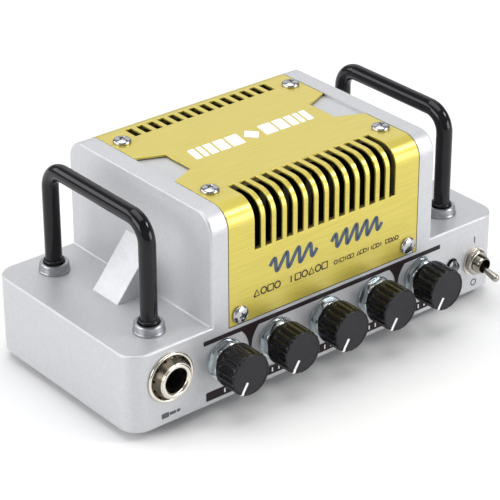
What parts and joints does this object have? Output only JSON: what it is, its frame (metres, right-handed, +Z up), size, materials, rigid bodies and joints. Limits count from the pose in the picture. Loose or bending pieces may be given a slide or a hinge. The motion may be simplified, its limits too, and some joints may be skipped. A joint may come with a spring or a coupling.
{
  "type": "guitar amplifier head",
  "caption": "Compact guitar amp head: cast silver body, gold vented wrap cover, two bar handles, a row of fluted knobs, sockets and a power toggle.",
  "frame": {"origin": "bottom centre of the whole object's box, on the plane of the feet's undersides", "axes": "+Z up, +X to the right seen from the front, front panel facing -Y, sockets for power and speaker facing +Y"},
  "size_m": [0.128, 0.0746, 0.058],
  "materials": {
    "cast_silver": "bead-blasted and clear anodised, satin",
    "gold_sheet": "brushed along X, gold anodised",
    "screw_steel": "polished nickel plate",
    "black_gloss": "gloss black enamel",
    "plate_steel": "satin",
    "foot_rubber": "matt",
    "nut_zinc": "bright zinc plate",
    "knob_black": "satin moulded, white pointer",
    "black_plastic": "moulded",
    "nickel": "polished nickel plate",
    "lamp_lens": "clear moulded lens",
    "board_green": "solder mask",
    "sink_metal": "as extruded"
  },
  "bodies": {
    "housing": {"chassis_shell": "cast_silver", "vent_cover": "gold_sheet", "cover_screw_top_front_left": "screw_steel", "cover_screw_front_left": "screw_steel", "cover_screw_top_front_right": "screw_steel", "cover_screw_front_right": "screw_steel", "cover_screw_top_rear_left": "screw_steel", "cover_screw_rear_left": "screw_steel", "cover_screw_top_rear_right": "screw_steel", "cover_screw_rear_right": "screw_steel", "handle_left": "black_gloss", "collar_left_front": "screw_steel", "collar_left_rear": "screw_steel", "handle_right": "black_gloss", "collar_right_front": "screw_steel", "collar_right_rear": "screw_steel", "base_plate": "plate_steel", "foot_front_left": "foot_rubber", "foot_front_right": "foot_rubber", "foot_rear_left": "foot_rubber", "foot_rear_right": "foot_rubber", "pot_body_gain": "plate_steel", "pot_nut_gain": "nut_zinc", "pot_body_bass": "plate_steel", "pot_nut_bass": "nut_zinc", "pot_body_middle": "plate_steel", "pot_nut_middle": "nut_zinc", "pot_body_treble": "plate_steel", "pot_nut_treble": "nut_zinc", "pot_body_volume": "plate_steel", "pot_nut_volume": "nut_zinc", "input_jack_body": "black_plastic", "input_jack_nut": "nickel", "speaker_out_body": "black_plastic", "speaker_out_nut": "nickel", "fx_return_body": "black_plastic", "fx_return_nut": "nickel", "fx_send_body": "black_plastic", "fx_send_nut": "nickel", "aux_in_jack": "black_plastic", "phones_out_jack": "black_plastic", "dc_inlet": "black_plastic", "power_led": "lamp_lens", "toggle_body": "nickel", "toggle_nut": "nickel", "main_board": "board_green", "heatsink": "sink_metal", "power_ic": "black_plastic", "filter_capacitor": "black_plastic"},
    "knob_gain": {"knob_gain": "knob_black", "pot_shaft_gain": "plate_steel"},
    "knob_bass": {"knob_bass": "knob_black", "pot_shaft_bass": "plate_steel"},
    "knob_middle": {"knob_middle": "knob_black", "pot_shaft_middle": "plate_steel"},
    "knob_treble": {"knob_treble": "knob_black", "pot_shaft_treble": "plate_steel"},
    "knob_volume": {"knob_volume": "knob_black", "pot_shaft_volume": "plate_steel"},
    "power_lever": {"toggle_lever": "nickel"}
  },
  "joints": [
    {"name": "gain_turn", "type": "hinge", "parent": "housing", "child": "knob_gain", "pos_m": [-0.0343, -0.0263, 0.0148], "axis": [0, 1, 0], "range_deg": [0, 300]},
    {"name": "bass_turn", "type": "hinge", "parent": "housing", "child": "knob_bass", "pos_m": [-0.01715, -0.0263, 0.0148], "axis": [0, 1, 0], "range_deg": [0, 300]},
    {"name": "middle_turn", "type": "hinge", "parent": "housing", "child": "knob_middle", "pos_m": [0, -0.0263, 0.0148], "axis": [0, 1, 0], "range_deg": [0, 300]},
    {"name": "treble_turn", "type": "hinge", "parent": "housing", "child": "knob_treble", "pos_m": [0.01715, -0.0263, 0.0148], "axis": [0, 1, 0], "range_deg": [0, 300]},
    {"name": "volume_turn", "type": "hinge", "parent": "housing", "child": "knob_volume", "pos_m": [0.0343, -0.0263, 0.0148], "axis": [0, 1, 0], "range_deg": [0, 300]},
    {"name": "power_switch", "type": "hinge", "parent": "housing", "child": "power_lever", "pos_m": [0.0553, -0.0263, 0.0123], "axis": [-1, 0, 0], "range_deg": [0, 25]}
  ]
}
